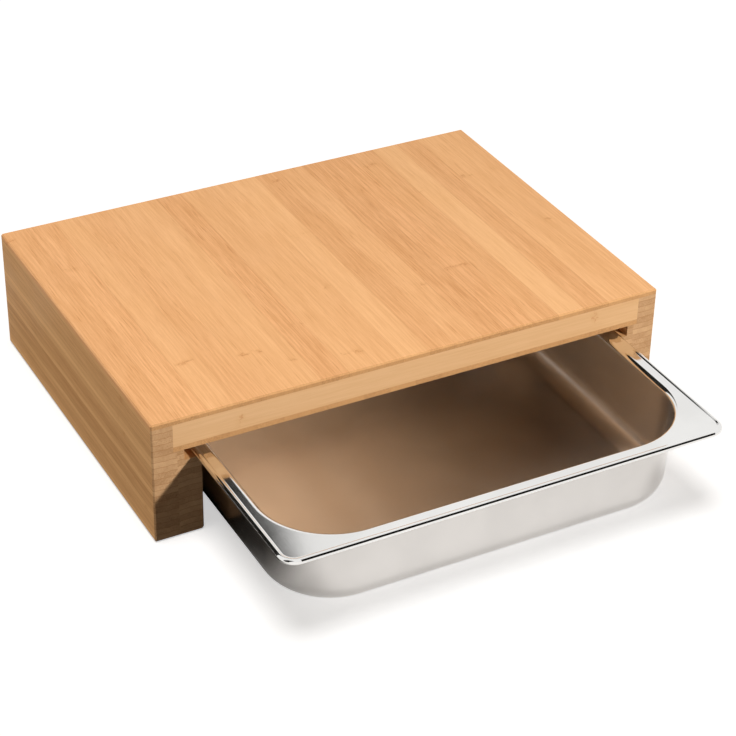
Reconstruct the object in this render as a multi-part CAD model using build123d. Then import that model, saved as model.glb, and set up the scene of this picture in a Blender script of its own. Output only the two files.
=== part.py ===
from build123d import *
import os

# A bamboo cutting board on two legs, with a steel tray that hangs by its rim in grooves
# under the board. Sizes are in mm. X runs left to right, Y front to back, Z up.
# The origin is on the table, in the middle of the footprint with the tray pulled out.

# Tray, pressed from one sheet: a half-size catering pan
tray_width = 325.0       # over the rim, left to right
tray_length = 265.0      # over the rim, front to back
tray_height = 62.0       # top of the rim to the underside of the base
sheet = 0.8
bead_diameter = 4.2      # rolled edge
bead_rise = 0.4          # the roll stands this much above the flat flange
roll_side_count = 8      # flat sides inside the roll, where nothing shows
rim_corner = 12.0        # outer corner of the rim, seen from above
flange_flat = 9.0        # outer edge of the rim to where the sheet turns down
mouth_round = 3.5        # turn from the flange into the wall
well_corner = 50.0       # corner of the well, seen from above
wall_taper = 3.0         # degrees, so that pans stack
base_round = 16.0        # turn from the wall into the base
tray_out = 132.6         # how far the tray is pulled out here

# Room for the tray
under_tray = 1.9         # base of the tray above the table
seat_gap = 0.3           # between the rim and the ledge that it rides on
over_rim = 3.5           # above the rim, inside the groove
beside_rim = 7.1         # each side of the rim, inside the groove
behind_rim = 0.3         # left behind the rim when the tray is pushed home

# Legs, glued up from bamboo strips in two columns
groove_wall = 22.4       # wood outside the groove
ledge_width = 12.6       # ledge that carries the rim
stop_length = 10.7       # wood left behind the end of the groove
cutter_radius = 8.0      # corner that the cutter leaves at the end of the groove
column_width = 17.5      # outer column of strips; the inner one takes the rest
panel_bearing = 7.4      # shelf under each side of the panel

# Panel, three layers glued with crossed grain
face_thickness = 3.8
core_thickness = 17.0
strip_width = 20.0       # wanted width of a face strip; the strips share the width evenly

# Sanded edges
edge_break = 1.0         # flat taken off the corners
foot_round = 2.0

# Heights
ledge_top = under_tray + tray_height - bead_diameter - seat_gap
rim_top = under_tray + tray_height
panel_bottom = rim_top + over_rim
core_bottom = panel_bottom + face_thickness
core_top = core_bottom + core_thickness
board_height = core_top + face_thickness

# Plan
leg_width = groove_wall + ledge_width
board_width = tray_width + 2 * (beside_rim + groove_wall)
groove_length = tray_length + behind_rim
board_depth = groove_length + stop_length
panel_width = board_width - 2 * (groove_wall - panel_bearing)
front = (tray_out - board_depth) / 2
back = front + board_depth
tray_middle = front - tray_out + tray_length / 2

# Tray heights and insets
flange_top = rim_top - bead_rise
well_inset = flange_flat + mouth_round
bead_radius = bead_diameter / 2


def block(x0, x1, y0, y1, z0, z1):
    """A straight block between two corners."""
    return Pos(x0, y0, z0) * Box(x1 - x0, y1 - y0, z1 - z0, align=(Align.MIN, Align.MIN, Align.MIN))


def board_outline():
    """The whole board as one block with its sanded top and corner edges."""
    whole = block(-board_width / 2, board_width / 2, front, back, 0, board_height)
    corners = whole.edges().filter_by(Axis.Z)
    rim = whole.faces().sort_by(Axis.Z)[-1].edges()
    return chamfer(corners + rim, edge_break)


def strips(name, width, bottom):
    """One face layer of the panel, as separate strips with the grain front to back."""
    count = round(width / strip_width)
    pitch = width / count
    for i in range(count):
        x = -width / 2 + i * pitch
        layer = block(x, x + pitch, front, back, bottom, bottom + face_thickness)
        yield f"{name}_{i + 1:02d}", layer


def leg():
    """The right leg as machined: rabbet for the panel, then the stopped groove for the rim."""
    outside = board_width / 2
    inside = outside - leg_width
    form = block(inside, outside, front, back, 0, core_top)
    form = fillet(form.faces().sort_by(Axis.Z)[0].edges(), foot_round)
    corners = form.edges().filter_by(Axis.Z).group_by(Axis.X)[0]
    form = chamfer(corners, edge_break)
    rabbet = block(inside, panel_width / 2, front, back, panel_bottom, core_top)
    wall = outside - groove_wall
    groove = block(inside, wall, front, front + groove_length, ledge_top, panel_bottom)
    end_corner = groove.edges().filter_by(Axis.Z).group_by(Axis.X)[-1].sort_by(Axis.Y)[-1]
    return form - rabbet - fillet(end_corner, cutter_radius)


def leg_pieces(form):
    """The leg at its glue lines: outer column, inner column, and the runner beside the groove."""
    seam = board_width / 2 - column_width
    inside = board_width / 2 - leg_width
    outer = form & block(seam, board_width / 2, front, back, 0, core_top)
    inner = form & block(inside, seam, front, back, 0, ledge_top)
    runner = form & block(inside, seam, front, back, ledge_top, panel_bottom)
    return {"leg_outer": outer, "leg_inner": inner, "leg_runner": runner}


def plug(inset, corner, depth, turn):
    """Tapered block with rounded corners and a rounded base, hanging from the flange."""
    mouth = RectangleRounded(tray_width - 2 * inset, tray_length - 2 * inset, corner)
    body = extrude(Pos(0, 0, flange_top) * mouth, amount=depth, dir=(0, 0, -1), taper=wall_taper)
    return fillet(body.faces().sort_by(Axis.Z)[0].edges(), turn)


def rim_outline():
    """Outline of the tray through the middle of its rolled edge."""
    width = tray_width - bead_diameter
    length = tray_length - bead_diameter
    return RectangleRounded(width, length, rim_corner - bead_radius)


def rolled(section):
    """Carry a section, drawn about the middle of the roll, round the rim."""
    path = Pos(0, 0, rim_top - bead_radius) * rim_outline().wire()
    start = Plane(origin=path @ 0, x_dir=(0, 0, 1), z_dir=path % 0)
    return sweep(start * section, path=path)


def roll_opening():
    """Section of the open side of the roll, between its lowest point and the flange."""
    top = bead_radius - bead_rise - sheet
    height = top + bead_radius
    return Pos(top - height / 2, -bead_radius / 2) * Rectangle(height, bead_radius)


def tray():
    """Pressed tray: well, flange and rolled edge in one sheet."""
    drop = flange_top - under_tray
    shape = extrude(Pos(0, 0, flange_top) * rim_outline(), amount=sheet, dir=(0, 0, -1))
    shape += plug(well_inset - sheet, well_corner + sheet, drop, base_round + sheet)
    under_flange = shape.faces().filter_by(Axis.Z).sort_by(Axis.Z)[1]
    shape = fillet(under_flange.inner_wires()[0].edges(), mouth_round - sheet)
    shape -= plug(well_inset, well_corner, drop - sheet, base_round)
    mouth = shape.faces().sort_by(Axis.Z)[-1].inner_wires()[0].edges()
    shape = fillet(mouth, mouth_round)
    shape += rolled(Circle(bead_radius))
    shape -= rolled(RegularPolygon(bead_radius - sheet, roll_side_count) + roll_opening())
    return Pos(0, tray_middle, 0) * shape


def pieces():
    outline = board_outline()
    for name, layer in strips("face_strip", board_width, core_top):
        yield name, layer & outline
    half = panel_width / 2
    yield "core_board", block(-half, half, front, back, core_bottom, core_top)
    yield from strips("under_strip", panel_width, panel_bottom)
    form = leg() & outline
    for name, piece in leg_pieces(form).items():
        yield f"right_{name}", piece
        yield f"left_{name}", mirror(piece, about=Plane.YZ)
    yield "tray", tray()


os.makedirs("parts", exist_ok=True)
for name, piece in pieces():
    export_step(piece, f"parts/{name}.step")
    print(f"{name}: {len(piece.solids())} solid, {piece.volume / 1000:.1f} cm3")
print(f"board {board_width:.1f} x {board_depth:.1f} x {board_height:.1f} mm")
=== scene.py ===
import math

import bmesh
import bpy
from mathutils import Matrix, Vector


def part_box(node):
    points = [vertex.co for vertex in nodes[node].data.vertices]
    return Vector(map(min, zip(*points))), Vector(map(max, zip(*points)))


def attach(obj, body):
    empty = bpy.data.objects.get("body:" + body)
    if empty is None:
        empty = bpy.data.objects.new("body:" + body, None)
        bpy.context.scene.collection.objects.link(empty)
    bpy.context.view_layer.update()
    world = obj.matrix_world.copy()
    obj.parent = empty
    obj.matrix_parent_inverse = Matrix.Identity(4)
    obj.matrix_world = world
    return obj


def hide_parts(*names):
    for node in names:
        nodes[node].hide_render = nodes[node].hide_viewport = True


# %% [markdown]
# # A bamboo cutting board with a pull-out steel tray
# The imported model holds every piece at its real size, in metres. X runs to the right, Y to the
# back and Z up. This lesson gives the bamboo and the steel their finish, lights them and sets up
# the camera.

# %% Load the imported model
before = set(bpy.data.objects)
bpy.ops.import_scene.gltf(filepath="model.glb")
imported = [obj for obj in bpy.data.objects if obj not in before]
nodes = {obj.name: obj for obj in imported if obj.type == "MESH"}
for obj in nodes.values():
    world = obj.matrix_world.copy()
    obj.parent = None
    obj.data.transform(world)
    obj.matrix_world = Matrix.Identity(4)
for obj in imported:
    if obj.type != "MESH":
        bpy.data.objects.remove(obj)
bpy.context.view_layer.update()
print("pieces:", len(nodes))

# %% [markdown]
# ## The sizes that the finish needs
# On the real board the grain, the glue lines and the knuckles follow the strips that it is glued
# from. They could be placed by eye, but would drift off the strips when a size changes. So the
# strips' sizes are read from the model.

# %% Sizes read from the model
board_names = [name for name in nodes if name != "tray"]
board_low = Vector(min(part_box(name)[0][i] for name in board_names) for i in range(3))
board_high = Vector(max(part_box(name)[1][i] for name in board_names) for i in range(3))
core_low, core_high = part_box("core_board")
face_names = sorted(name for name in nodes if name.startswith("face_strip"))
under_names = sorted(name for name in nodes if name.startswith("under_strip"))
leg_names = sorted(name for name in nodes if "_leg_" in name)
face_pitch = (board_high.x - board_low.x) / len(face_names)
under_pitch = (core_high.x - core_low.x) / len(under_names)
column_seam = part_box("right_leg_outer")[0].x
print(f"face strips {face_pitch * 1000:.1f} mm, under strips {under_pitch * 1000:.1f} mm")

# %% [markdown]
# ## Sizes of raw bamboo
# A bamboo culm is a thin tube with solid joints. Sawn and planed, it gives slats only as thick as
# its wall allows. These sizes aren't in the model, so they are written here.

# %% Sizes of raw bamboo
slat_thickness = 0.0044
knuckle_spacing = 0.27       # from one joint of the culm to the next
fibre_width = 0.0013
fibre_length = 0.040
print(f"slats {slat_thickness * 1000:.1f} mm thick, fibres {fibre_width * 1000:.1f} mm wide")

# %% [markdown]
# ## A short way to write shader nodes
# A node tree can be drawn by hand in the shader editor. In code it is easier to read when one line
# makes a node, sets its options and wires its inputs. `add` does that: an input's value may be a
# number, a colour or another node's socket.

# %% Add one node
def put(tree, socket, value):
    """Wire a socket to another one, or set its value."""
    if isinstance(value, bpy.types.NodeSocket):
        tree.links.new(value, socket)
    else:
        socket.default_value = value


def add(tree, kind, inputs=None, **options):
    """Make a shader node, set its options, and set or wire its inputs."""
    node = tree.nodes.new("ShaderNode" + kind)
    for name, value in options.items():
        setattr(node, name, value)
    for key, value in (inputs or {}).items():
        put(tree, node.inputs[key], value)
    return node


print("helpers:", put.__name__, add.__name__)

# %% [markdown]
# ## Arithmetic in nodes
# Every mask in this lesson comes from four small steps: arithmetic on numbers, arithmetic on
# vectors, a smooth stretch from one range to another, and a mix of two colours. Each gets a name,
# so that a mask reads like a sentence.

# %% Small steps
def maths(tree, operation, a, b=0.0, clamp=False):
    """One step of arithmetic on numbers; gives its socket."""
    return add(tree, "Math", {0: a, 1: b}, operation=operation, use_clamp=clamp).outputs[0]


def vector(tree, operation, a, b):
    """One step of arithmetic on vectors that gives a vector."""
    return add(tree, "VectorMath", {0: a, 1: b}, operation=operation).outputs["Vector"]


def ramp(tree, value, low, high, to_low=0.0, to_high=1.0):
    """Stretch a value smoothly from one range to another."""
    inputs = {"Value": value, "From Min": low, "From Max": high, "To Min": to_low, "To Max": to_high}
    return add(tree, "MapRange", inputs, interpolation_type="SMOOTHSTEP").outputs[0]


def blend(tree, factor, a, b, mode="MIX"):
    """Mix two colours."""
    node = add(tree, "Mix", {0: factor, 6: a, 7: b}, data_type="RGBA", blend_type=mode)
    return node.outputs[2]


print("steps:", [step.__name__ for step in (maths, vector, ramp, blend)])

# %% [markdown]
# ## Groups and materials
# An effect that several materials share is built once, as a node group with named sockets, and
# placed in each material with its own values. Copying its nodes would work too, but every change
# would then have to be made many times.

# %% Groups and materials
def group(name, inputs, outputs):
    """An empty node group with named sockets; gives the tree, its input and its output node."""
    tree = bpy.data.node_groups.new(name, "ShaderNodeTree")
    for label, kind, value in inputs:
        socket = tree.interface.new_socket(label, in_out="INPUT", socket_type="NodeSocket" + kind)
        if value is not None:
            socket.default_value = value
    for label, kind in outputs:
        tree.interface.new_socket(label, in_out="OUTPUT", socket_type="NodeSocket" + kind)
    return tree, tree.nodes.new("NodeGroupInput").outputs, tree.nodes.new("NodeGroupOutput").inputs


def place(tree, made, **values):
    """Put a node group into a material, with its own values; gives its outputs."""
    node = tree.nodes.new("ShaderNodeGroup")
    node.node_tree = made
    for label, value in values.items():
        put(tree, node.inputs[label], value)
    return node.outputs


def material(name):
    """An empty material; gives it, its tree and its Principled shader."""
    made = bpy.data.materials.new(name)
    made.use_nodes = True
    return made, made.node_tree, made.node_tree.nodes["Principled BSDF"]


print("makers:", [maker.__name__ for maker in (group, place, material)])

# %% [markdown]
# ## Fibres
# Bamboo has no growth rings. Its wall is full of dark fibre bundles about a millimetre across,
# which run the whole length of a slat. Noise that is stretched along the slat gives both looks at
# once: long streaks on the sides, and specks on the cut ends. A picture of wood would give only
# one of the two.

# %% Group: bamboo fibres
def make_fibres():
    tree, given, out = group(
        "Bamboo fibres",
        [("Place", "Vector", None), ("Width", "Float", fibre_width),
         ("Length", "Float", fibre_length)],
        [("Streaks", "Float"), ("Dashes", "Float"), ("Broad", "Float")],
    )
    across = maths(tree, "DIVIDE", 1.0, given["Width"])
    along = maths(tree, "DIVIDE", 1.0, given["Length"])
    stretch = add(tree, "CombineXYZ", {"X": across, "Y": along, "Z": across}).outputs[0]
    spot = vector(tree, "MULTIPLY", given["Place"], stretch)
    fine = add(tree, "TexNoise", {"Vector": spot, "Scale": 1.0, "Detail": 5.0, "Roughness": 0.72})
    dash = add(tree, "TexNoise", {"Vector": spot, "Scale": 1.4, "Detail": 3.0, "Roughness": 0.6})
    wide = add(tree, "TexNoise", {"Vector": spot, "Scale": 0.16, "Detail": 2.0, "Roughness": 0.5})
    put(tree, out["Streaks"], ramp(tree, fine.outputs[0], 0.28, 0.72))
    put(tree, out["Dashes"], ramp(tree, dash.outputs[0], 0.57, 0.72))
    put(tree, out["Broad"], ramp(tree, wide.outputs[0], 0.3, 0.7))
    return tree


fibres = make_fibres()
print("made", fibres.name)

# %% [markdown]
# ## Strips
# Each strip comes from another culm, so its tone differs a little from its neighbour's, and a
# thin glue line parts them. The strips could be dressed one by one. Instead the group counts them
# along one direction and draws a random tone for each count, so it also serves the slats that are
# one block in the model. White noise gives the same tone for the same count on every run.

# %% Group: glued strips
glue_width = 0.0003


def make_strips():
    tree, given, out = group(
        "Glued strips",
        [("Along", "Float", 0.0), ("Start", "Float", 0.0), ("Pitch", "Float", 0.02),
         ("Seed", "Float", 0.0), ("Glue", "Float", glue_width)],
        [("Count", "Float"), ("Tone", "Float"), ("Hue", "Float"), ("Glue line", "Float")],
    )
    away = maths(tree, "SUBTRACT", given["Along"], given["Start"])
    steps = maths(tree, "DIVIDE", away, given["Pitch"])
    part = maths(tree, "FRACT", steps)
    count = maths(tree, "ADD", maths(tree, "FLOOR", steps), given["Seed"])
    chance = add(tree, "TexWhiteNoise", {"W": count}, noise_dimensions="1D").outputs["Color"]
    tone, hue = add(tree, "SeparateColor", {0: chance}).outputs[:2]
    from_edge = maths(tree, "MINIMUM", part, maths(tree, "SUBTRACT", 1.0, part))
    metres = maths(tree, "MULTIPLY", from_edge, given["Pitch"])
    put(tree, out["Count"], count)
    put(tree, out["Tone"], tone)
    put(tree, out["Hue"], hue)
    put(tree, out["Glue line"], ramp(tree, metres, 0.0, given["Glue"], 1.0, 0.0))
    return tree


strips = make_strips()
print("made", strips.name)

# %% [markdown]
# ## Knuckles
# A culm has a solid joint every 20 to 30 cm. Planed flat, it shows as a short ragged brown line
# across the strip, with darker wood beside it. A straight line would look printed, so noise bends
# it and breaks it up. The joints of neighbouring strips never line up, so each strip's line starts
# at a random place.

# %% Group: knuckles
knuckle_breadth = 0.0012
knuckle_wander = 0.014       # noise bends the line by up to half of this
knuckle_halo = 0.006


def make_knuckles():
    tree, given, out = group(
        "Knuckles",
        [("Place", "Vector", None), ("Along", "Float", 0.0), ("Strip", "Float", 0.0),
         ("Spacing", "Float", knuckle_spacing), ("Breadth", "Float", knuckle_breadth)],
        [("Line", "Float"), ("Halo", "Float")],
    )
    spot, spacing = given["Place"], given["Spacing"]
    chance = add(tree, "TexWhiteNoise", {"W": given["Strip"]}, noise_dimensions="1D")
    shift = maths(tree, "MULTIPLY", chance.outputs["Value"], spacing)
    moved = maths(tree, "ADD", given["Along"], shift)
    part = maths(tree, "FRACT", maths(tree, "DIVIDE", moved, spacing))
    away = maths(tree, "MULTIPLY", maths(tree, "SUBTRACT", part, 0.5), spacing)
    ragged = add(tree, "TexNoise", {"Vector": spot, "Scale": 420.0, "Detail": 3.0}).outputs[0]
    wander = maths(tree, "MULTIPLY", maths(tree, "SUBTRACT", ragged, 0.5), knuckle_wander)
    from_line = maths(tree, "ABSOLUTE", maths(tree, "ADD", away, wander))
    line = ramp(tree, from_line, 0.0, given["Breadth"], 1.0, 0.0)
    near = ramp(tree, maths(tree, "ABSOLUTE", away), 0.0, knuckle_halo, 1.0, 0.0)
    broken = add(tree, "TexNoise", {"Vector": spot, "Scale": 75.0, "Detail": 2.0}).outputs[0]
    kept = ramp(tree, broken, 0.52, 0.61)
    put(tree, out["Line"], maths(tree, "MULTIPLY", line, kept))
    put(tree, out["Halo"], maths(tree, "MULTIPLY", near, kept))
    return tree


knuckles = make_knuckles()
print("made", knuckles.name)

# %% [markdown]
# ## Cut ends
# Where a saw cuts across the fibres, the end drinks more oil and looks darker. The end faces could
# get a material of their own, but then the change would be hard at the sanded edges. So the group
# compares the surface's own direction with the direction of the grain. Both belong to the piece
# and not to the camera, so the dark stays on the ends from every side.

# %% Group: cut ends
def make_cut_ends():
    tree, given, out = group("Cut ends", [("Grain", "Vector", (0.0, 1.0, 0.0))], [("Mask", "Float")])
    facing = add(tree, "TexCoord").outputs["Normal"]
    dot = add(tree, "VectorMath", {0: facing, 1: given["Grain"]}, operation="DOT_PRODUCT")
    square = maths(tree, "ABSOLUTE", dot.outputs["Value"])
    put(tree, out["Mask"], ramp(tree, square, 0.3, 0.9))
    return tree


cut_ends = make_cut_ends()
print("made", cut_ends.name)

# %% [markdown]
# ## Handling
# Oil and hands leave soft clouds in a finish, on wood and on steel alike. A painted map would
# show where it repeats. One slow noise serves both: it moves the roughness a little, and the tone
# even less.

# %% Group: handling
def make_handling():
    tree, given, out = group(
        "Handling",
        [("Place", "Vector", None), ("Size", "Float", 0.05)],
        [("Clouds", "Float")],
    )
    scale = maths(tree, "DIVIDE", 1.0, given["Size"])
    cloud = add(tree, "TexNoise", {"Vector": given["Place"], "Scale": scale, "Detail": 3.0})
    put(tree, out["Clouds"], ramp(tree, cloud.outputs[0], 0.32, 0.68))
    return tree


handling = make_handling()
print("made", handling.name)

# %% [markdown]
# ## Colours of the bamboo
# Bamboo that is steamed before it is glued turns from straw to honey. The face is the warmest, as
# its strips lie flat and show the fibres from the side. Each sort has a light and a pinker colour
# for its ground, and a dark one for its fibres. The colours are written as the wood would look on
# a dull day, without gloss.

# %% Colours of the bamboo
face_colours = ((0.93, 0.54, 0.26, 1.0), (0.915, 0.50, 0.24, 1.0), (0.60, 0.28, 0.105, 1.0))
face_ends = ((0.60, 0.33, 0.14, 1.0), (0.36, 0.18, 0.075, 1.0))
core_colours = ((0.80, 0.53, 0.30, 1.0), (0.77, 0.485, 0.26, 1.0), (0.60, 0.34, 0.15, 1.0))
core_ends = (core_colours[0], core_colours[2])
leg_colours = ((0.82, 0.48, 0.215, 1.0), (0.72, 0.40, 0.175, 1.0), (0.44, 0.22, 0.085, 1.0))
leg_ends = ((0.62, 0.385, 0.205, 1.0), (0.32, 0.16, 0.065, 1.0))
glue_brown = (0.34, 0.15, 0.055, 1.0)
knuckle_brown = (0.50, 0.19, 0.05, 1.0)
print("face ground", face_colours[0][:3])

# %% [markdown]
# ## Which way the grain runs
# The panel's faces and the legs have their grain front to back. The core's grain runs left to
# right, so that the panel stays flat. Turning the place before it reaches the groups lets one
# group serve both.

# %% The place, turned along the grain
grain_ways = {"x": (1.0, 0.0, 0.0), "y": (0.0, 1.0, 0.0)}


def grain_place(tree, spot, grain):
    """The place on the piece, turned so that the fibres run along its Y."""
    axes = add(tree, "SeparateXYZ", {0: spot}).outputs
    order = {"x": ("Y", "X", "Z"), "y": ("X", "Y", "Z")}[grain]
    turned = {way: axes[own] for way, own in zip("XYZ", order)}
    return axes, add(tree, "CombineXYZ", turned).outputs[0]


print("grain ways:", sorted(grain_ways))

# %% [markdown]
# ## The slats of the legs
# A leg is glued up from flat slats in two columns. The columns were glued one by one, so their
# glue lines don't meet, and the slats wave a little. In the model each column is one block. So the
# height is what counts the slats, lifted in the outer column and bent by a slow noise.

# %% Height in a leg
column_lift = 0.0019 + 100 * slat_thickness      # whole slats more, to draw other tones
column_wave = 0.0022


def leg_height(tree, axes):
    """The height that counts a leg's slats."""
    outer = maths(tree, "GREATER_THAN", maths(tree, "ABSOLUTE", axes["X"]), column_seam)
    lifted = maths(tree, "ADD", axes["Z"], maths(tree, "MULTIPLY", outer, column_lift))
    slow_y = maths(tree, "MULTIPLY", axes["Y"], 0.15)
    slow = add(tree, "CombineXYZ", {"X": axes["X"], "Y": slow_y}).outputs[0]
    wave = add(tree, "TexNoise", {"Vector": slow, "Scale": 130.0, "Detail": 1.0}).outputs[0]
    return maths(tree, "ADD", lifted, maths(tree, "MULTIPLY", wave, column_wave))


print(f"columns part {column_seam * 1000:.1f} mm from the middle")

# %% [markdown]
# ## The masks of one bamboo finish
# The four sorts of bamboo in this board differ only in the direction of their grain, the width of
# their strips and their colours. One set of functions makes them all. First come the masks. Each
# strip's fibres start at a place of their own, or the streaks would run on from strip to strip.

# %% Masks
strip_jump = 0.37            # how far each strip's fibres move on from its neighbour's


def wood_masks(tree, grain, strip, seed, in_leg):
    """Place every group. strip says what counts the strips: the axis, the start and the pitch."""
    spot = add(tree, "TexCoord").outputs["Object"]
    axes, turned = grain_place(tree, spot, grain)
    axis, start, pitch = strip
    along = leg_height(tree, axes) if in_leg else axes[axis]
    strip_of = place(tree, strips, Along=along, Start=start, Pitch=pitch, Seed=seed)
    jump = maths(tree, "MULTIPLY", strip_of["Count"], strip_jump)
    own = vector(tree, "ADD", turned, add(tree, "CombineXYZ", {"Y": jump}).outputs[0])
    threads = place(tree, fibres, Place=own)
    joints = place(tree, knuckles, Place=own, Along=axes[grain.upper()], Strip=strip_of["Count"])
    cut = place(tree, cut_ends, Grain=grain_ways[grain])["Mask"]
    clouds = place(tree, handling, Place=spot)["Clouds"]
    return strip_of, threads, joints, cut, clouds


print("masks from", [made.name for made in (strips, fibres, knuckles, cut_ends, handling)])

# %% [markdown]
# ## The colour of one bamboo finish
# The masks add up to one depth, from the ground colour to the dark of the fibres. Some strips are
# livelier than others, so their hue also scales their streaks. The knuckles and the glue lines are
# laid over that, because on the real board they cut through everything.

# %% Colour
halo_weight = 0.22
knuckle_weight = 0.50
side_glue = 0.55             # glue shows less along the grain than on the cut ends


def wood_colour(tree, masks, colours, ends, mix):
    """Colour from the masks. mix weighs streaks, broad streaks, tone, dashes and glue."""
    strip_of, threads, joints, cut, _ = masks
    streaks, broad, tone, dashes, glue = mix
    lively = ramp(tree, strip_of["Hue"], 0.0, 1.0, 0.55, 1.25)
    depth = maths(tree, "MULTIPLY", maths(tree, "MULTIPLY", threads["Streaks"], streaks), lively)
    depth = maths(tree, "ADD", depth, maths(tree, "MULTIPLY", threads["Broad"], broad))
    depth = maths(tree, "ADD", depth, maths(tree, "MULTIPLY", strip_of["Tone"], tone))
    marks = maths(tree, "MULTIPLY", maths(tree, "MULTIPLY", threads["Dashes"], dashes), lively)
    depth = maths(tree, "ADD", depth, marks, clamp=True)
    light, pink, dark = colours
    side = blend(tree, depth, blend(tree, strip_of["Hue"], light, pink), dark)
    colour = blend(tree, cut, side, blend(tree, depth, *ends))
    colour = blend(tree, maths(tree, "MULTIPLY", joints["Halo"], halo_weight), colour, dark)
    line = maths(tree, "MULTIPLY", joints["Line"], knuckle_weight)
    colour = blend(tree, line, colour, knuckle_brown)
    shown = ramp(tree, cut, 0.0, 1.0, side_glue * glue, glue)
    return blend(tree, maths(tree, "MULTIPLY", strip_of["Glue line"], shown), colour, glue_brown)


print("knuckle weight", knuckle_weight)

# %% [markdown]
# ## The bamboo recipe
# Oiled bamboo is neither dull nor shiny: its gloss is broken by the fibres, which stand a hair
# above the softer wood between them. Real grooves that fine would take millions of faces, so a
# small bump stands for them.

# %% Recipe
wood_smooth = 0.48
wood_rough = 0.64
plain_mix = (0.50, 0.15, 0.11, 0.45, 0.3)


def bamboo(name, colours, ends, grain, strip, seed, mix=plain_mix, in_leg=False):
    """A bamboo finish. colours are light, pink and dark, and ends are light and dark."""
    made, tree, shader = material(name)
    masks = wood_masks(tree, grain, strip, seed, in_leg)
    strip_of, threads, _, _, clouds = masks
    put(tree, shader.inputs["Base Color"], wood_colour(tree, masks, colours, ends, mix))
    both = maths(tree, "ADD", clouds, threads["Streaks"])
    put(tree, shader.inputs["Roughness"], ramp(tree, both, 0.0, 2.0, wood_smooth, wood_rough))
    height = maths(tree, "ADD", threads["Streaks"], threads["Dashes"])
    height = maths(tree, "SUBTRACT", height, strip_of["Glue line"])
    bump = add(tree, "Bump", {"Strength": 0.12, "Distance": 0.0004, "Height": height})
    put(tree, shader.inputs["Normal"], bump.outputs[0])
    shader.inputs["Specular IOR Level"].default_value = 0.2
    return made


print("roughness", wood_smooth, "to", wood_rough)

# %% [markdown]
# ## The four sorts
# Face and under strips are counted from left to right, the core's strips from front to back, and
# the legs' slats from the table up. The core shows its grain plainly and hardly any fibres, and
# the ends of the legs show their glue lines best. Each sort has its own seed, so that no two share
# their tones.

# %% The four sorts
core_strip = 0.024
face_bamboo = bamboo(
    "bamboo_face", face_colours, face_ends, "y", ("X", board_low.x, face_pitch), seed=3.0)
under_bamboo = bamboo(
    "bamboo_under", core_colours, face_ends, "y", ("X", core_low.x, under_pitch), seed=41.0)
core_bamboo = bamboo(
    "bamboo_core", core_colours, core_ends, "x", ("Y", core_low.y, core_strip), seed=77.0,
    mix=(0.3, 0.2, 0.2, 0.2, 0.2))
leg_bamboo = bamboo(
    "bamboo_leg", leg_colours, leg_ends, "y", ("Z", 0.0, slat_thickness), seed=120.0,
    mix=(0.3, 0.2, 0.36, 0.3, 0.85), in_leg=True)
print("made", [made.name for made in (face_bamboo, under_bamboo, core_bamboo, leg_bamboo)])

# %% [markdown]
# ## Dress the board
# The board's pieces keep the meshes of the model, because their flat faces and sanded edges are
# already right. They only change their material.

# %% Dress the board
def dress(names, finish):
    """Give pieces of the model a finish; gives how many there were."""
    for name in names:
        for slot in nodes[name].material_slots:
            slot.material = finish
    return len(names)


dressed = dress(face_names, face_bamboo) + dress(under_names, under_bamboo)
dressed += dress(["core_board"], core_bamboo) + dress(leg_names, leg_bamboo)
print("dressed", dressed, "pieces")

# %% [markdown]
# ## The tray
# The tray is pressed from one steel sheet, and its shine shows every facet. So it is made again
# here as a finer mesh with the same section: rolled edge, flat flange, round mouth, tapered wall,
# round turn and flat base.

# %% Sizes of the tray
sheet = 0.0008
roll_radius = 0.0021
roll_rise = 0.0004           # the roll stands this much above the flange
rim_corner = 0.012
flange_flat = 0.009          # from the rim's edge to where the sheet turns down
mouth_round = 0.0035
well_corner = 0.050
wall_taper = math.radians(3.0)
base_round = 0.016
tray_low, tray_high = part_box("tray")
tray_size = tray_high - tray_low
tray_middle = (tray_high + tray_low) / 2
flange_top = tray_high.z - roll_rise
well_inset = flange_flat + mouth_round
print("tray", [round(side * 1000, 1) for side in tray_size], "mm")

# %% [markdown]
# ## The section of the sheet
# Cut through, the sheet is two lines that stay one thickness apart. Each line is written as points
# by inset from the rim and by height: arcs where the press bends the sheet, and straight runs
# between them. A thickness modifier would be shorter, but it pinches the sheet inside the roll.

# %% The section of the sheet
def arc(centre, radius, start, end, steps):
    """Points round part of a circle, as (inset from the rim, height)."""
    turns = [math.radians(start + (end - start) * i / steps) for i in range(steps + 1)]
    return [(centre[0] + radius * math.cos(t), centre[1] + radius * math.sin(t)) for t in turns]


def rim_points(thick):
    """From the open end of the roll, over it, to the mouth of the well."""
    middle = (roll_radius, tray_high.z - roll_radius)
    radius = roll_radius - thick
    crease = math.degrees(math.asin((roll_radius - roll_rise - thick) / radius))
    points = arc(middle, radius, 270, 180, 10)[:-1] + arc(middle, radius, 180, crease, 14)
    top = flange_top - thick
    points += [(2 * roll_radius, top), (flange_flat - 0.001, top)]
    turn_middle = (flange_flat, flange_top - mouth_round)
    return points + arc(turn_middle, mouth_round - thick, 90, math.degrees(wall_taper), 14)


def well_points(thick, wall_top):
    """From the top of the wall to the flat of the base."""
    floor_height = tray_low.z + sheet - thick
    reach = base_round + thick
    height = floor_height + reach
    inset = wall_top[0] + (wall_top[1] - height) * math.tan(wall_taper)
    inset += reach / math.cos(wall_taper) - reach * math.sin(wall_taper) * math.tan(wall_taper)
    base = arc((inset, height), reach, 180 + math.degrees(wall_taper), 270, 18)
    gap = (base[0][0] - wall_top[0], base[0][1] - wall_top[1])
    wall = [(wall_top[0] + gap[0] * s, wall_top[1] + gap[1] * s) for s in (0.02, 0.5, 0.98)]
    return wall + base + [(base[-1][0] + 0.001, floor_height)]


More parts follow.
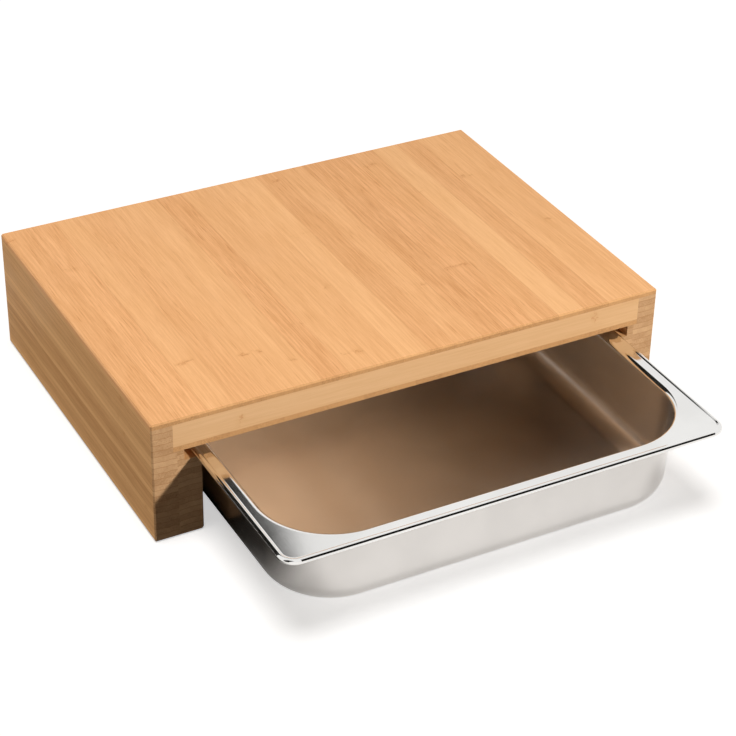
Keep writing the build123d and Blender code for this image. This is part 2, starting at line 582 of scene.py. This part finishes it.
def sheet_side(thick):
    """One side of the sheet: thick is 0 on the side that faces up, or the sheet's thickness."""
    points = rim_points(thick)
    return points + well_points(thick, points[-1])


print("points on the upper side:", len(sheet_side(0.0)))

# %% [markdown]
# ## Round the rim
# The rim's corners are tight and the well's corners are wide, and the flange between them is what
# fills the difference. A sweep keeps one corner all the way down, so it can't make that. Here every
# point of the section gets a ring of its own, with the corner that belongs to its inset. All rings
# have the same count of points, so they join into clean four-sided faces.

# %% Rings
corner_steps = 24
side_stops = (0.01, 0.25, 0.5, 0.75, 0.99)


def corner_radius(inset):
    """Corner of the ring at this inset: tight on the roll, wide from the flange inwards."""
    if inset <= 2 * roll_radius + 1e-6:
        return rim_corner - inset
    return well_corner + well_inset - inset


def ring(inset, height):
    """Points round the tray at one inset and height, anticlockwise from the right side."""
    radius = corner_radius(inset)
    half = (tray_size.x / 2 - inset - radius, tray_size.y / 2 - inset - radius)
    corners = []
    for quarter, (sx, sy) in enumerate(((1, 1), (-1, 1), (-1, -1), (1, -1))):
        centre = Vector((tray_middle.x + sx * half[0], tray_middle.y + sy * half[1], height))
        turns = [math.pi / 2 * (quarter + i / corner_steps) for i in range(corner_steps + 1)]
        corners.append([centre + radius * Vector((math.cos(t), math.sin(t), 0)) for t in turns])
    points = []
    for quarter, corner in enumerate(corners):
        following = corners[(quarter + 1) % 4][0]
        points += corner + [corner[-1].lerp(following, s) for s in side_stops]
    return points


print("points in a ring:", len(ring(0.0, flange_top)))

# %% [markdown]
# ## The skin of the tray
# The rings run from the middle of the base, up the inside, over the rim, and down the outside to
# the base again, so the mesh is closed. A closed mesh has a real thickness at the roll's open side,
# where a single skin would show its back. Each face notes whether it is satin inside, bright rim or
# bright outside. Edges that turn by more than 38 degrees stay sharp, such as the crease beside the
# roll.

# %% The tray's mesh
inside, rim, outside = range(3)
edge_of_well = flange_flat + mouth_round * 0.9
sharpest_smooth = math.radians(38)


def make_tray():
    form = bmesh.new()
    section = [(point, False) for point in reversed(sheet_side(0.0))]
    section += [(point, True) for point in sheet_side(sheet)]
    rings = [[form.verts.new(spot) for spot in ring(*point)] for point, _ in section]
    for (point, is_under), here, following in zip(section, rings, rings[1:]):
        finish = outside if is_under else (inside if point[0] > edge_of_well else rim)
        for j in range(len(here)):
            k = (j + 1) % len(here)
            face = form.faces.new((here[j], here[k], following[k], following[j]))
            face.material_index = finish
    form.faces.new(list(reversed(rings[0]))).material_index = inside
    form.faces.new(rings[-1]).material_index = outside
    bmesh.ops.recalc_face_normals(form, faces=form.faces)
    mesh = bpy.data.meshes.new("pressed_tray")
    form.to_mesh(mesh)
    form.free()
    mesh.shade_smooth()
    mesh.set_sharp_from_angle(angle=sharpest_smooth)
    piece = bpy.data.objects.new("pressed_tray", mesh)
    bpy.context.scene.collection.objects.link(piece)
    return piece


pressed_tray = make_tray()
print("tray faces:", len(pressed_tray.data.polygons))

# %% [markdown]
# ## Drawn lines
# Stainless sheet comes from the rolls with very fine lines in one direction. They could be cut as
# grooves, but are far finer than a pixel. A noise stretched along the sheet gives a hint of them.

# %% Group: drawn lines
line_stretch = 0.012


def make_drawn_lines():
    tree, given, out = group(
        "Drawn lines",
        [("Place", "Vector", None), ("Fineness", "Float", 2600.0)],
        [("Lines", "Float")],
    )
    stretch = add(tree, "CombineXYZ", {"X": 1.0, "Y": line_stretch, "Z": 1.0}).outputs[0]
    spot = vector(tree, "MULTIPLY", given["Place"], stretch)
    noise = add(tree, "TexNoise", {"Vector": spot, "Scale": given["Fineness"], "Detail": 2.0})
    put(tree, out["Lines"], noise.outputs[0])
    return tree


drawn_lines = make_drawn_lines()
print("made", drawn_lines.name)

# %% [markdown]
# ## Steel
# Pressing polishes the sheet unevenly: the inside stays satin, the outside is smoother and the rim
# is nearly a mirror. Rough metal is a blurred mirror, so most of its colour comes from what stands
# round it. That is why the three finishes differ in roughness much more than in colour.

# %% Steel finishes
cloud_size = 0.045
cloud_shade = 0.94


def steel(name, tint, smooth, rough, lines):
    """A stainless finish between two values of roughness, with drawn lines of some strength."""
    made, tree, shader = material(name)
    spot = add(tree, "TexCoord").outputs["Object"]
    clouds = place(tree, handling, Place=spot, Size=cloud_size)["Clouds"]
    shade = ramp(tree, clouds, 0.0, 1.0, cloud_shade, 1.0)
    grey = add(tree, "CombineColor", {0: shade, 1: shade, 2: shade}).outputs[0]
    put(tree, shader.inputs["Base Color"], blend(tree, 1.0, tint, grey, "MULTIPLY"))
    put(tree, shader.inputs["Roughness"], ramp(tree, clouds, 0.0, 1.0, smooth, rough))
    drawn = place(tree, drawn_lines, Place=spot)["Lines"]
    bump = add(tree, "Bump", {"Strength": lines, "Distance": 0.00005, "Height": drawn})
    put(tree, shader.inputs["Normal"], bump.outputs[0])
    shader.inputs["Metallic"].default_value = 1.0
    return made


satin_inside = steel("steel_satin", (0.67, 0.64, 0.61, 1.0), 0.24, 0.26, 0.01)
bright_rim = steel("steel_rim", (0.84, 0.83, 0.81, 1.0), 0.07, 0.09, 0.04)
bright_outside = steel("steel_outside", (0.645, 0.62, 0.595, 1.0), 0.20, 0.24, 0.08)
print("made", [made.name for made in (satin_inside, bright_rim, bright_outside)])

# %% [markdown]
# ## The tray takes its place
# The finer tray takes the place of the tray in the model. It rides on the same body, so it slides
# with it.

# %% Put the tray in
for finish in (satin_inside, bright_rim, bright_outside):
    pressed_tray.data.materials.append(finish)
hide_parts("tray")
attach(pressed_tray, "tray")
print("the pressed tray rides on the tray")

# %% [markdown]
# ## The camera
# The camera stands to the left of the front and looks down on the board. It was fitted to the
# board's corners, so its place comes with two angles, a small roll and a long lens. A long lens
# from far off keeps the board's sides nearly parallel.

# %% Camera
camera_place = Vector((-0.6124, -1.1380, 0.8740))
turn = math.radians(-28.355)
rise = math.radians(32.851)
roll = math.radians(1.103)
flat = math.cos(rise)
back_way = Vector((math.sin(turn) * flat, -math.cos(turn) * flat, math.sin(rise)))
right_way = Vector((0, 0, 1)).cross(back_way).normalized()
up_way = back_way.cross(right_way)
right_rolled = right_way * math.cos(roll) + up_way * math.sin(roll)
up_rolled = up_way * math.cos(roll) - right_way * math.sin(roll)
looks = Matrix((right_rolled, up_rolled, back_way)).transposed().to_4x4()
lens = bpy.data.cameras.new("camera")
lens.sensor_width = 36.0
lens.lens = 107.14
camera = bpy.data.objects.new("camera", lens)
camera.matrix_world = Matrix.Translation(camera_place) @ looks
bpy.context.scene.collection.objects.link(camera)
bpy.context.scene.camera = camera
print(f"camera {camera_place.length:.2f} m from the origin, {lens.lens} mm lens")

# %% [markdown]
# ## Lamps
# Two lamps share the work on the object. The small key lamp, at the front right, lights the front
# faces and throws the tray's shadow on the left leg with a clear edge. The wide fill, at the upper
# left, lights the top and keeps the left side readable. A lamp's level is the brightness that it
# gives a white card held square to it, so the levels can be compared. The steel doesn't show the
# lamps, because a studio would hide them from it.

# %% Lamps
warm_white = (1.0, 0.98, 0.95)


def hang(name, light, direction, distance):
    """Put a lamp up in a direction from the board, and aim it at the board."""
    made = bpy.data.objects.new(name, light)
    way = Vector(direction).normalized()
    made.location = way * distance
    made.rotation_euler = way.to_track_quat("Z", "Y").to_euler()
    made.visible_glossy = False
    bpy.context.scene.collection.objects.link(made)
    return made


def lamp(name, direction, distance, size, card_level):
    """A square lamp; level 1 renders a colour that faces it as it is written."""
    light = bpy.data.lights.new(name, "AREA")
    light.size = size
    light.color = warm_white
    light.energy = card_level * math.pi ** 2 * distance ** 2
    return hang(name, light, direction, distance)


key_lamp = lamp("key", (0.37, -0.82, 0.50), 2.2, 0.14, 1.08)
fill_lamp = lamp("fill", (-0.70, 0.20, 0.69), 2.0, 1.0, 0.66)
print("lamps:", key_lamp.name, fill_lamp.name)

# %% [markdown]
# ## Light on the paper
# The object stands on white paper, with a short, soft shadow. A lamp would light the near paper
# more than the far paper. A soft sun lights all of it alike, so the paper stays even in every view.

# %% Sun for the paper
def paper_sun(direction, angle, card_level):
    """A soft sun; a wider angle gives a softer shadow."""
    light = bpy.data.lights.new("paper", "SUN")
    light.energy = card_level * math.pi
    light.angle = math.radians(angle)
    return hang("paper", light, direction, 0.0)


paper_lamp = paper_sun((-0.10, -0.05, 1.0), 26.0, 0.45)
print("sun for the paper:", paper_lamp.name)

# %% [markdown]
# ## The room
# The room is plain white to the camera and in the steel. It lights the wood only a little, from
# all round, with the warm light that wood throws back. The lamps do the rest. One strength for all
# rays would wash the shadows out.

# %% Room
white = (1.0, 1.0, 1.0, 1.0)
thrown_back = (1.0, 0.82, 0.62, 1.0)
plain_level = 0.11


def direct_rays(tree):
    """1 for rays from the camera, or seen in a mirror or through glass; 0 for scattered light."""
    rays = add(tree, "LightPath").outputs
    seen = maths(tree, "ADD", rays["Is Camera Ray"], rays["Is Glossy Ray"])
    return maths(tree, "ADD", seen, rays["Is Transmission Ray"], clamp=True)


def make_room():
    world = bpy.data.worlds.new("studio")
    world.use_nodes = True
    tree = world.node_tree
    light = tree.nodes["Background"].inputs
    seen = direct_rays(tree)
    put(tree, light["Strength"], ramp(tree, seen, 0.0, 1.0, plain_level, 1.0))
    put(tree, light["Color"], blend(tree, seen, thrown_back, white))
    bpy.context.scene.world = world
    return world


room = make_room()
print("room:", room.name, "at level", plain_level)

# %% [markdown]
# ## The floor
# The floor is a large sheet of white paper. To the camera, and in the steel, it shines a little by
# itself, so that it reaches plain white away from the object and still holds the object's shadow.
# A brighter lamp would whiten it too, but would burn out the wood.

# %% Floor
floor_reach = 15.0
floor_drop = 0.0002
floor_glow = 0.55
floor_white = 0.95
floor_bounce = 0.28          # how pale it is for the light that it throws on the object


def paper_material():
    made, tree, shader = material("white_paper")
    seen = direct_rays(tree)
    pale = ramp(tree, seen, 0.0, 1.0, floor_bounce, floor_white)
    tint = add(tree, "CombineColor", {0: pale, 1: pale, 2: pale}).outputs[0]
    put(tree, shader.inputs["Base Color"], tint)
    shader.inputs["Roughness"].default_value = 0.9
    shader.inputs["Specular IOR Level"].default_value = 0.0
    glow = add(tree, "Emission", {"Strength": maths(tree, "MULTIPLY", seen, floor_glow)})
    both = add(tree, "AddShader", {0: shader.outputs[0], 1: glow.outputs[0]})
    put(tree, tree.nodes["Material Output"].inputs["Surface"], both.outputs[0])
    return made


def stage_piece(name, form, finish):
    """A piece of the studio from a mesh form; it isn't part of the object."""
    mesh = bpy.data.meshes.new(name)
    form.to_mesh(mesh)
    form.free()
    mesh.materials.append(finish)
    made = bpy.data.objects.new(name, mesh)
    bpy.context.scene.collection.objects.link(made)
    return made


paper = bmesh.new()
bmesh.ops.create_grid(paper, x_segments=1, y_segments=1, size=floor_reach)
floor = stage_piece("floor", paper, paper_material())
floor.location.z = -floor_drop
print("floor:", floor.name)

# %% [markdown]
# ## Which lamp lights what
# The lamps' own shadows on the paper would be long and hard, and the sun would make the board's
# top too bright. In a real studio, cards would shade each from the other. Here light linking does
# it: the sun lights only the floor, and the lamps light all but the floor.

# %% Light linking
def light_link(lamp_object, chosen, state):
    """INCLUDE lights only the chosen objects, EXCLUDE all but them."""
    linked = bpy.data.collections.new(lamp_object.name + "_lights")
    for item in chosen:
        linked.objects.link(item)
    for entry in linked.collection_objects:
        entry.light_linking.link_state = state
    lamp_object.light_linking.receiver_collection = linked


light_link(paper_lamp, [floor], "INCLUDE")
light_link(key_lamp, [floor], "EXCLUDE")
light_link(fill_lamp, [floor], "EXCLUDE")
print("linked 3 lamps")

# %% [markdown]
# ## Light from the tray's floor
# Steel throws light up to the underside of the board, and the underside shows again in the steel.
# Tracing that takes long and leaves specks. So one lamp stands for it: it shines up from below the
# left leg, lights nothing but the underside, and nothing is in its way.

# %% Light under the board
bounce_place = Vector((-0.20, 0.0, core_low.z - 0.22))
bounce_aim = Vector((-0.055, 0.0, core_low.z))
bounce_energy = 3.2
bounce_spread = math.radians(52)
bounce_white = (0.92, 1.0, 1.2)


def make_tray_bounce():
    light = bpy.data.lights.new("tray_bounce", "SPOT")
    light.energy = bounce_energy
    light.color = bounce_white
    light.spot_size = bounce_spread
    light.spot_blend = 1.0
    light.shadow_soft_size = 0.03
    made = bpy.data.objects.new("tray_bounce", light)
    made.location = bounce_place
    made.rotation_euler = (bounce_place - bounce_aim).to_track_quat("Z", "Y").to_euler()
    made.visible_glossy = False
    bpy.context.scene.collection.objects.link(made)
    underside = bpy.data.collections.new("underside")
    for name in under_names[1:-1]:
        underside.objects.link(nodes[name])
    made.light_linking.receiver_collection = underside
    made.light_linking.blocker_collection = underside
    return made


tray_bounce = make_tray_bounce()
print(tray_bounce.name, "lights", len(under_names) - 2, "strips")

# %% [markdown]
# ## Dark flags and painted shadow for the steel
# Polished steel looks like steel only where it has something dark to show. So in a studio, dark
# flags hang round it. Here three curved strips hang far off: the left side of the rim shows the one
# at the back, the rolled edge in front shows the next as a thin line, and the rim's front left
# corner shows the third. Two dark cards on the paper are a painted shadow, seen only in the steel:
# they darken the outside of the tray's left wall as a shadow on the paper to its left would.
#
# A strip is written as limits on the direction from the board: it fills every direction whose x, y
# and z lie between two corners of a box. A card is written as its middle and its reach.

# %% Where the flags and the painted shadow hang
hanging_strips = (
    ("back", (-0.85, 0.62, -0.10), (0.327, 0.77, 0.95)),
    ("front", (0.24, -0.97, -0.05), (0.60, -0.32, 0.95)),
    ("left", (-0.97, -0.62, -0.10), (-0.30, -0.12, 0.90)),
)
# cards of painted shadow on the paper, by middle and reach; only the steel shows them
painted_shadow_cards = (
    ("near", (-0.27, 0.02, 0.0), (0.24, 0.29, 1.0)),
    ("far", (-0.76, 0.56, 0.0), (0.76, 0.72, 1.0)),
)
print("flags:", [row[0] for row in hanging_strips + painted_shadow_cards])

# %% [markdown]
# ## The outlines of the flags
# Each flag could be a mesh of its own. It is quicker to hang one sphere round everything and lay
# one sheet of painted shadow on the paper, and to let a mask say where they are dark. Moving a flag
# then means changing a number.

# %% Masks of the flags
strip_edge = 0.006
shadow_card_edge = 0.60             # each card fades out from here to its rim


def strips_mask(tree):
    """1 inside the hanging strips, by direction from the middle."""
    spot = add(tree, "TexCoord").outputs["Object"]
    look = add(tree, "VectorMath", {0: spot}, operation="NORMALIZE").outputs["Vector"]
    axes = add(tree, "SeparateXYZ", {0: look}).outputs
    total = 0.0
    for _, low, high in hanging_strips:
        within = 1.0
        for i in range(3):
            after = ramp(tree, axes[i], low[i] - strip_edge, low[i] + strip_edge)
            before = ramp(tree, axes[i], high[i] - strip_edge, high[i] + strip_edge, 1.0, 0.0)
            within = maths(tree, "MULTIPLY", maths(tree, "MULTIPLY", after, before), within)
        total = maths(tree, "MAXIMUM", within, total)
    return total


def painted_shadow_mask(tree):
    """1 inside the round cards of painted shadow on the paper, fading towards their rims."""
    spot = add(tree, "TexCoord").outputs["Object"]
    total = 0.0
    for _, middle, reach in painted_shadow_cards:
        scaled = vector(tree, "DIVIDE", vector(tree, "SUBTRACT", spot, middle), reach)
        away = add(tree, "VectorMath", {0: scaled}, operation="LENGTH").outputs["Value"]
        total = maths(tree, "MAXIMUM", ramp(tree, away, shadow_card_edge, 1.0, 1.0, 0.0), total)
    return total


print("masks for", len(hanging_strips), "strips and", len(painted_shadow_cards), "cards")

# %% [markdown]
# ## Hang the flags
# A real flag would also take light from the object. These show in the steel and do nothing else,
# so the wood doesn't change when one is moved. The mask goes to the Alpha socket, so that the flag
# is there only inside its outline.

# %% Hang the flags
flag_black = (0.04, 0.037, 0.034, 1.0)


def flag(name, form, mask):
    """A dark, dull flag from a mesh form, cut to a mask, that only mirrors see."""
    made, tree, shader = material(name)
    shader.inputs["Base Color"].default_value = flag_black
    shader.inputs["Specular IOR Level"].default_value = 0.0
    put(tree, shader.inputs["Alpha"], mask(tree))
    hung = stage_piece(name, form, made)
    hung.visible_camera = False
    hung.visible_diffuse = False
    hung.visible_shadow = False
    hung.visible_transmission = False
    return hung


far_off = bmesh.new()
bmesh.ops.create_uvsphere(far_off, u_segments=64, v_segments=32, radius=5.0)
flag("hanging_flags", far_off, strips_mask)
# the sheet on the paper carries the painted shadow, which only the steel shows
on_paper = bmesh.new()
bmesh.ops.create_grid(on_paper, x_segments=1, y_segments=1, size=2.0)
flag("painted_shadow_cards", on_paper, painted_shadow_mask).location.z = 0.0001
print("hung the flags")

# %% [markdown]
# ## Finish
# The view is left plain, so that every colour shows as it was written.

# %% Finish
bpy.context.scene.view_settings.view_transform = "Standard"
